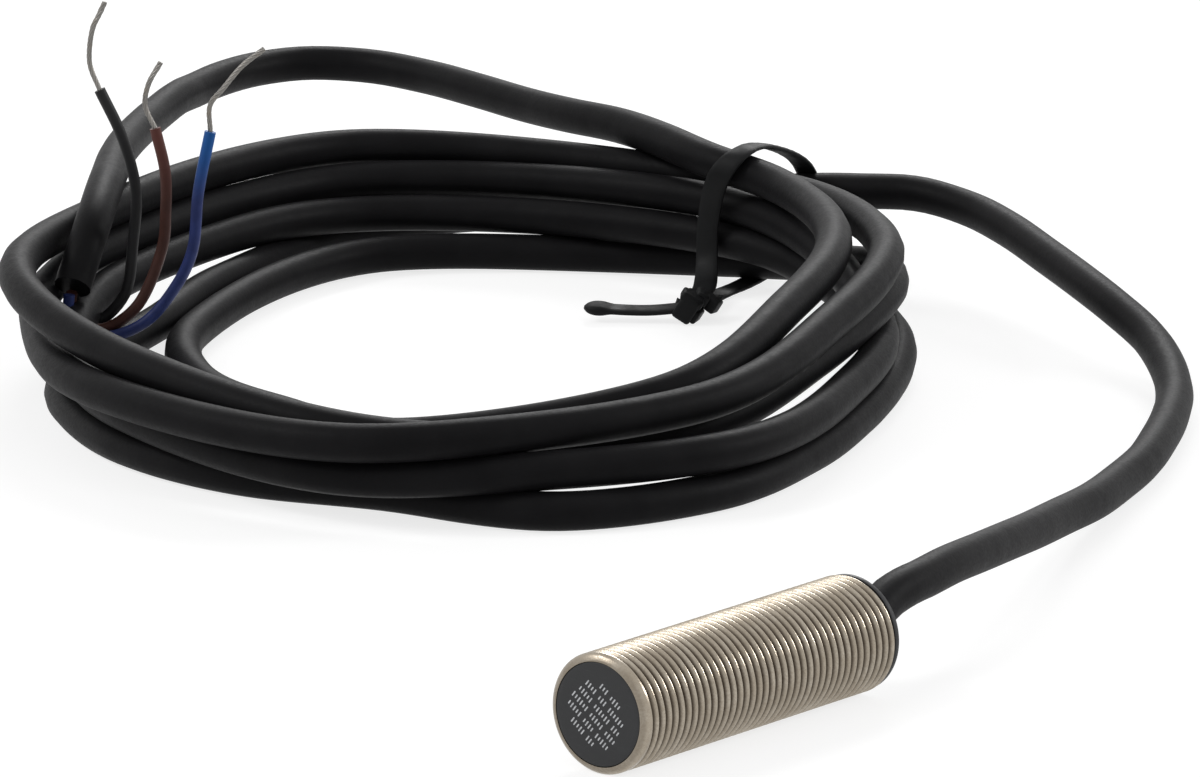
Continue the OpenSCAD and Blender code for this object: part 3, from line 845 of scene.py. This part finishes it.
def make_tie():
    """The strap round the bundle, its free end, and its head as a handful of bevelled blocks."""
    bm = bmesh.new()
    place = about_coil(TIE_ANGLE)
    loop = flowing([place @ (Vector(p) * MM) for p in TIE_LOOP + TIE_LOOP[:1]], 0.9 * MM)[:-1]
    along = place.to_3x3() @ Vector((0, 1, 0))
    frames = []
    for i, p in enumerate(loop):
        way = loop[(i + 1) % len(loop)] - loop[i - 1]
        frames.append(section_frame(p, way, along, 1.0, TOOTH_TOP if i % 2 else TOOTH_ROOT))
    pulled(bm, strap_section(bm), frames, closed=True)

    home = about_coil(0)
    end = flowing([home @ (Vector(p) * MM) for p in TIE_END], 0.3 * MM)
    rolled = home.to_3x3() @ Vector((0, 1.0, 0.12))
    frames = []
    for i, (p, way, _, _) in enumerate(frames_along(end, Vector((0, 0, 1)))):
        gone = i / (len(end) - 1)
        swell = smooth_step((gone - END_SWELLS) / END_RUN)
        tip = max(0.05, 1.0 - max(0.0, (gone - END_ROUNDS) / END_RUN) ** 2) ** 0.5
        frames.append(section_frame(p, way, rolled, (END_W + END_MORE_W * swell) * tip,
                                    (END_T + END_MORE_T * swell) * tip))
    pulled(bm, strap_section(bm), frames, closed=False)

    head = (Matrix.Translation(home @ (Vector(HEAD_MIDDLE) * MM))
            @ Matrix.Rotation(radians(HEAD_TURN), 4, "Z")
            @ Matrix.Rotation(radians(HEAD_TIP), 4, "Y"))
    for spot, size, turn, edge in HEAD_BLOCKS:
        stood = (head @ Matrix.Translation(Vector(spot) * MM)
                 @ Matrix.Rotation(radians(turn), 4, "Z")
                 @ Matrix.Diagonal((*(side * MM for side in size), 1.0)))
        cube = bmesh.ops.create_cube(bm, size=1.0, matrix=stood)["verts"]
        softened(bm, list({e for v in cube for e in v.link_edges}), edge * MM, 3)

    bmesh.ops.recalc_face_normals(bm, faces=bm.faces)
    tie = finished("cable_tie_strap", bm, TIE_BLACK, 38.0, stands_for=("cable_tie",))
    return tie, end[-1], head.translation


tie, tie_tip, tie_head = make_tie()
round(line_length(cable_line), 2)

# ------------------------------------------------------------------ the threaded tube

# One pitch of the thread from crest to crest: (share of the pitch, radius), corners eased.
THREAD_SECTION = [
    (-0.045, CREST_R), (0.045, CREST_R), (0.082, CREST_R - 0.030 * MM),
    (0.400, ROOT_R + 0.045 * MM), (0.455, ROOT_R), (0.545, ROOT_R), (0.600, ROOT_R + 0.045 * MM),
    (0.918, CREST_R - 0.030 * MM), (0.955, CREST_R)]
TUBE_STEPS = 112
# Turns made before the tube is trimmed, and how many of them lie before the first groove.
THREAD_TURNS, TURNS_BEFORE = 42, 2.5
# The thread rises out of the chamfer over this stretch behind the sensing face.
FADE_START, FADE_RUN = 0.86 * MM, 0.45 * MM
# Distances behind the sensing face at which the tube gets an even ring of vertices.
FRONT_RINGS = (0.12 * MM, 0.35 * MM, FRONT_CHAMFER, FADE_START)


def tube_radius(r, s):
    """The thread's radius r as the fade and the chamfers leave it, s behind the face."""
    new = CREST_R - (CREST_R - r) * smooth_step((s - FADE_START) / FADE_RUN)
    if s < FRONT_CHAMFER:
        new = min(new, CREST_R - FRONT_CHAMFER + max(0.0, s) * (2.0 - s / FRONT_CHAMFER))
    return min(new, CREST_R - max(0.0, s - (BARREL_L - REAR_CHAMFER)))


def make_tube():
    """Runs one pitch of the thread along its true helix, trims it, then chamfers and bores it."""
    bm = bmesh.new()
    start = FACE_Y + FIRST_GROOVE - TURNS_BEFORE * PITCH
    spots = [bm.verts.new((r, start + share * PITCH, AXIS_Z)) for share, r in THREAD_SECTION]
    edges = [bm.edges.new(pair) for pair in zip(spots, spots[1:])]
    bmesh.ops.spin(bm, geom=spots + edges, cent=(0, 0, AXIS_Z), axis=(0, 1, 0),
                   dvec=(0, PITCH / TUBE_STEPS, 0), angle=2 * pi, steps=TUBE_STEPS,
                   use_merge=False, use_normal_flip=False, use_duplicate=False)
    one_turn = bm.verts[:] + bm.edges[:] + bm.faces[:]
    for k in range(1, THREAD_TURNS):
        copy = bmesh.ops.duplicate(bm, geom=one_turn)["geom"]
        bmesh.ops.translate(bm, vec=(0, k * PITCH, 0), verts=of_kind(copy, bmesh.types.BMVert))
    bmesh.ops.remove_doubles(bm, verts=bm.verts, dist=0.004 * MM)

    def cut(s, **clear):
        """Cuts across the tube at distance s behind the face."""
        bmesh.ops.bisect_plane(bm, geom=bm.verts[:] + bm.edges[:] + bm.faces[:],
                               dist=0.0005 * MM, plane_co=(0, FACE_Y + s, 0),
                               plane_no=(0, 1, 0), **clear)

    cut(0.0, clear_inner=True)
    cut(BARREL_L, clear_outer=True)
    for s in (*FRONT_RINGS, BARREL_L - REAR_CHAMFER):
        cut(s)
    for v in bm.verts:
        x, z = v.co.x, v.co.z - AXIS_Z
        r = hypot(x, z)
        new = tube_radius(r, v.co.y - FACE_Y)
        v.co.x, v.co.z = x * new / r, AXIS_Z + z * new / r

    def rim(s):
        """The open edges at distance s behind the face."""
        return [e for e in bm.edges if e.is_boundary
                and all(abs(v.co.y - (FACE_Y + s)) < 0.002 * MM for v in e.verts)]

    def stepped(edges, r, s):
        """Grows open edges to a ring of radius r at distance s behind the face."""
        grown = bmesh.ops.extrude_edge_only(bm, edges=edges)["geom"]
        for v in of_kind(grown, bmesh.types.BMVert):
            away = Vector((v.co.x, 0, v.co.z - AXIS_Z)).normalized() * r
            v.co = (away.x, FACE_Y + s, AXIS_Z + away.z)
        return of_kind(grown, bmesh.types.BMEdge)

    back = rim(BARREL_L)
    inner = rim(0.0)
    for r, s in ((CREST_R - FRONT_CHAMFER - 0.03 * MM, 0.0), (FACE_R + 0.05 * MM, 0.0),
                 (FACE_R + 0.03 * MM, 0.03 * MM), (FACE_R + 0.03 * MM, FACE_T),
                 (BORE_R, FACE_T), (BORE_R, BARREL_L)):
        inner = stepped(inner, r, s)
    back = stepped(back, CREST_R - REAR_CHAMFER - 0.05 * MM, BARREL_L)
    bmesh.ops.bridge_loops(bm, edges=inner + back)
    bmesh.ops.remove_doubles(bm, verts=bm.verts, dist=0.0008 * MM)
    bmesh.ops.recalc_face_normals(bm, faces=bm.faces)
    return finished("screw_threaded_tube", bm, NICKEL, 32.0, stands_for=("threaded_barrel",))


tube = make_tube()

face = turned("sensing_face", [
    (0, 0.035 * MM), (1.6 * MM, 0.034 * MM), (3.2 * MM, 0.028 * MM), (4.6 * MM, 0.022 * MM),
    (5.02 * MM, 0.022 * MM), (5.10 * MM, 0.045 * MM), (5.14 * MM, 0.09 * MM),
    (FACE_R, 0.16 * MM), (FACE_R, FACE_T - 0.02 * MM), (SKIRT_R, FACE_T),
    (SKIRT_R, SKIRT_END - 0.08 * MM), (SKIRT_R - 0.08 * MM, SKIRT_END),
    (SKIRT_R - SKIRT_T, SKIRT_END), (SKIRT_R - SKIRT_T, FACE_T + 0.1 * MM),
    (SKIRT_R - SKIRT_T - 0.1 * MM, FACE_T), (0, FACE_T)],
    FACE_BLACK, stands_for=("front_cap",))

# The rear cap's spigot in the tube, and its hole round the cable.
SPIGOT_S = 35.1 * MM
SPIGOT_R = 4.97 * MM
SPIGOT_BORE_R = 4.02 * MM
SPIGOT_FLOOR = SPIGOT_S + 1.56 * MM
HOLE_R = 2.13 * MM
BODY_L = REAR_Y - FACE_Y
rear_cap = turned("cable_end_cap", [
    (SPIGOT_BORE_R, SPIGOT_S), (SPIGOT_R - 0.07 * MM, SPIGOT_S), (SPIGOT_R, SPIGOT_S + 0.1 * MM),
    (SPIGOT_R, BARREL_L), (RIM_R - 0.04 * MM, BARREL_L), (RIM_R, BARREL_L + 0.05 * MM),
    (RIM_R, BODY_L - 0.18 * MM), (RIM_R - 0.05 * MM, BODY_L - 0.10 * MM),
    (RIM_R - 0.12 * MM, BODY_L - 0.03 * MM), (RIM_R - 0.22 * MM, BODY_L), (3.30 * MM, BODY_L),
    (3.18 * MM, BODY_L - 0.10 * MM), (2.62 * MM, BODY_L - 0.12 * MM), (2.50 * MM, BODY_L),
    (2.24 * MM, BODY_L), (HOLE_R, BODY_L - 0.12 * MM), (HOLE_R, SPIGOT_FLOOR),
    (SPIGOT_BORE_R, SPIGOT_FLOOR)], CAP_BLACK, stands_for=("rear_cap",))

# The print on the face, in millimetres: how far each row lies from the face's middle, and how
# many ticks each of its groups has.
INK_ROWS = ((-2.55, (3, 5)), (-1.50, (5, 4, 5)), (-0.45, (4, 5, 6)), (0.60, (3, 6, 5)),
            (1.65, (6, 3, 4)), (2.70, (4, 3)))
ROW_TURN = 140
TICK_GAP, GROUP_GAP = 0.40, 0.78
TICK_W, TICK_TALL, TICK_SHORT = 0.15, 0.62, 0.46
INK_T, INK_OUT, INK_CORNER = 0.026 * MM, 0.018 * MM, 0.05 * MM


def print_on_face():
    """Rows of plain ticks in white ink, where the real face has its print."""
    bpy.context.view_layer.update()
    tree = BVHTree.FromObject(face, bpy.context.evaluated_depsgraph_get())
    middle = on_surface(tree, *POINTS["face_middle"])
    row_way, next_row = (Vector((cos(radians(a)), 0, sin(radians(a))))
                         for a in (ROW_TURN, ROW_TURN - 90))
    upright = Matrix((row_way, next_row, Vector((0, -1, 0)))).transposed().to_4x4()
    bm = bmesh.new()
    for away, groups in INK_ROWS:
        places, at = [], 0.0
        for group in groups:
            places += [at + TICK_GAP * k for k in range(group)]
            at = places[-1] + GROUP_GAP
        for place in places:
            spot = (middle + row_way * ((place - places[-1] / 2) * MM)
                    + next_row * (away * MM))
            height = TICK_TALL if round(place * 10) % 3 else TICK_SHORT
            stood = (Matrix.Translation((spot.x, FACE_Y + INK_OUT, spot.z)) @ upright
                     @ Matrix.Diagonal((TICK_W * MM, height * MM, INK_T, 1.0)))
            tick = bmesh.ops.create_cube(bm, size=1.0, matrix=stood)["verts"]
            corners = [e for e in {e for v in tick for e in v.link_edges}
                       if abs((e.verts[0].co - e.verts[1].co).normalized().y) > 0.9]
            softened(bm, corners, INK_CORNER, 2)
    bmesh.ops.recalc_face_normals(bm, faces=bm.faces)
    finished("face_ticks", bm, INK, 30.0)


print_on_face()

# ------------------------------------------------------------------ the CAD pieces inside

INSIDE = {
    "ferrite_core": fired_ceramic("ferrite", "ferrite",
                                  (0.030, 0.030, 0.032), (0.075, 0.073, 0.070)),
    "coil_former": moulded("natural_nylon", "former", (0.62, 0.57, 0.45), (0.72, 0.68, 0.58),
                           dull=0.45, mark=0.1),
    "coil_winding": wound_copper(),
    "coil_leads": metal("copper_lead", "copper", (0.62, 0.26, 0.11), (0.45, 0.17, 0.07),
                        dull=0.30),
    "board_carrier": moulded("grey_moulding", "carrier",
                             (0.040, 0.040, 0.044), (0.070, 0.070, 0.074)),
    "circuit_board": board_green(),
    "controller_chip": moulded("chip_black", "chip_black",
                               (0.012, 0.012, 0.013), (0.03, 0.03, 0.032), dull=0.6),
    "output_transistor": moulded("transistor_black", "chip_black",
                                 (0.014, 0.014, 0.015), (0.03, 0.03, 0.032)),
    "clamp_diodes": moulded("diode_red", "diode", (0.30, 0.050, 0.028), (0.42, 0.11, 0.06),
                            dull=0.22, mark=0.1),
    "capacitors": fired_ceramic("capacitor_tan", "capacitor",
                                (0.42, 0.29, 0.18), (0.55, 0.42, 0.30), dull=0.4),
    "resistors": fired_ceramic("resistor_black", "resistor",
                               (0.016, 0.016, 0.018), (0.05, 0.05, 0.055), dull=0.35),
    "solder_joints": metal("soft_solder", "solder", (0.66, 0.66, 0.68), (0.50, 0.50, 0.51),
                           dull=0.26),
    "potting_resin": filled_resin(),
    "cable_seal": moulded("seal_rubber", "seal", (0.015, 0.015, 0.016), (0.030, 0.030, 0.031),
                          dull=0.68),
    "clamp_ring": metal("crimped_brass", "crimp", (0.62, 0.48, 0.20), (0.45, 0.33, 0.13),
                        dull=0.30),
    "cable_root": JACKET,
    "brown_conductor": BROWN,
    "blue_conductor": BLUE,
    "black_conductor": BLACK,
}
for node, finish in INSIDE.items():
    inner = frame["nodes"][node]
    inner.data.materials.clear()
    inner.data.materials.append(finish.material)

# ------------------------------------------------------------------ table, light and air

# How bright the table glows and how much of that is seen, and the air's light on the object.
TABLE_GLOW, GLOW_SHARE = 1.25, 0.62
AIR_LEVEL = 0.46


def pale_table():
    """A plain white surface that keeps the shadows but reads as the photograph's white ground."""
    bm = bmesh.new()
    bmesh.ops.create_grid(bm, x_segments=8, y_segments=8, size=9.0)
    mesh = bpy.data.meshes.new("table")
    bm.to_mesh(mesh)
    bm.free()
    table = bpy.data.objects.new("table", mesh)
    scene.collection.objects.link(table)
    f = Finish("white_table", None, Roughness=0.9, Specular_IOR_Level=0.1)
    cloud = f.grain(0.35, detail=2.0)
    f.feed(Base_Color=f.mix(cloud * 0.2, (0.86, 0.86, 0.86), (0.83, 0.83, 0.835)))
    glow = f.node("ShaderNodeEmission", sockets={"Color": (1.0, 1.0, 1.0), "Strength": TABLE_GLOW})
    both = f.node("ShaderNodeMixShader", sockets={
        0: f.looked_at() * GLOW_SHARE, 1: Signal(f, f.shader.outputs[0]), 2: glow})
    out = next(n for n in f.tree.nodes if n.type == "OUTPUT_MATERIAL")
    f.put(out.inputs["Surface"], both)
    mesh.materials.append(f.material)


def soft_lamp(name, place, aim, size, power):
    """A soft box at a place, aimed at a point."""
    data = bpy.data.lights.new(name, "AREA")
    data.shape = "RECTANGLE"
    data.size, data.size_y = size
    data.energy = power
    lamp = bpy.data.objects.new(name, data)
    lamp.location = place
    lamp.rotation_euler = (Vector(aim) - Vector(place)).to_track_quat("-Z", "Y").to_euler()
    scene.collection.objects.link(lamp)


def studio_air():
    """Even pale surroundings, pure white where the camera or a shiny piece looks at them."""
    world = bpy.data.worlds.new("studio")
    scene.world = world
    world.use_nodes = True
    air = Nodes(world.node_tree)
    ground = next(n for n in air.tree.nodes if n.type == "BACKGROUND")
    air.put(ground.inputs["Color"], (1.0, 1.0, 1.0))
    air.put(ground.inputs["Strength"], air.looked_at() * (1.0 - AIR_LEVEL) + AIR_LEVEL)


pale_table()
studio_air()
MIDDLE = (-0.08, 0.07, 0.0)
soft_lamp("back_softbox", (-0.85, 1.25, 0.85), MIDDLE, (0.6, 0.35), 9.0)
soft_lamp("side_softbox", (0.95, 1.20, 0.75), MIDDLE, (0.4, 0.4), 8.0)
soft_lamp("front_softbox", (-1.0, -0.9, 1.2), MIDDLE, (0.6, 0.4), 9.0)

scene.view_settings.view_transform = "Standard"

# ------------------------------------------------------------------ offsets and sizes

# The cable's upper edge is measured near its point, and carried to it along the edge's slope.
# It is looked for on the cable's first stretch only, in front of one place and right of another.
EXIT_REACH, EXIT_SLOPE = 8, -0.62
EXIT_BACK, EXIT_LEFT = REAR_Y + 25 * MM, -20 * MM


def measured():
    """Works out how far each thing shows from its point in the photograph."""
    bpy.context.view_layer.update()
    ready = bpy.context.evaluated_depsgraph_get()
    seen = {"face_middle": in_photo((0, FACE_Y, AXIS_Z))}
    xs, ys = [], []
    for thing in (tube, face, rear_cap):
        shape = thing.evaluated_get(ready).to_mesh()
        for v in shape.vertices:
            x, y = in_photo(v.co)
            xs.append(x)
            ys.append(y)
    offsets = {"object_left": min(xs) - EDGES["object_left"],
               "object_right": max(xs) - EDGES["object_right"],
               "object_top": min(ys) - EDGES["object_top"],
               "object_bottom": max(ys) - EDGES["object_bottom"]}
    disc = [in_photo((FACE_R * cos(a * pi / 60), FACE_Y, AXIS_Z + FACE_R * sin(a * pi / 60)))
            for a in range(120)]
    seen["face_top"] = min(disc, key=lambda p: p[1])
    seen["face_bottom"] = max(disc, key=lambda p: p[1])
    exit_x = POINTS["cable_exit_upper"][0]
    lead = [in_photo(v.co) for v in cable.evaluated_get(ready).to_mesh().vertices
            if v.co.y < EXIT_BACK and v.co.x > EXIT_LEFT]
    seen["cable_exit_upper"] = (exit_x, min(
        y + (exit_x - x) * EXIT_SLOPE for x, y in lead if abs(x - exit_x) < EXIT_REACH))
    for colour, (_, route, bare, _) in WIRES.items():
        seen[colour + "_cut"] = in_photo(route[-1])
        seen[colour + "_tip"] = in_photo(bare[-1])
    seen["tie_head"] = in_photo(tie_head)
    seen["tie_end"] = in_photo(tie_tip)
    out = {name: {"x": round(value, 1)} if name in ("object_left", "object_right")
           else {"y": round(value, 1)} for name, value in offsets.items()}
    for name, (x, y) in seen.items():
        out[name] = {"x": round(x - POINTS[name][0], 1), "y": round(y - POINTS[name][1], 1)}


measured()
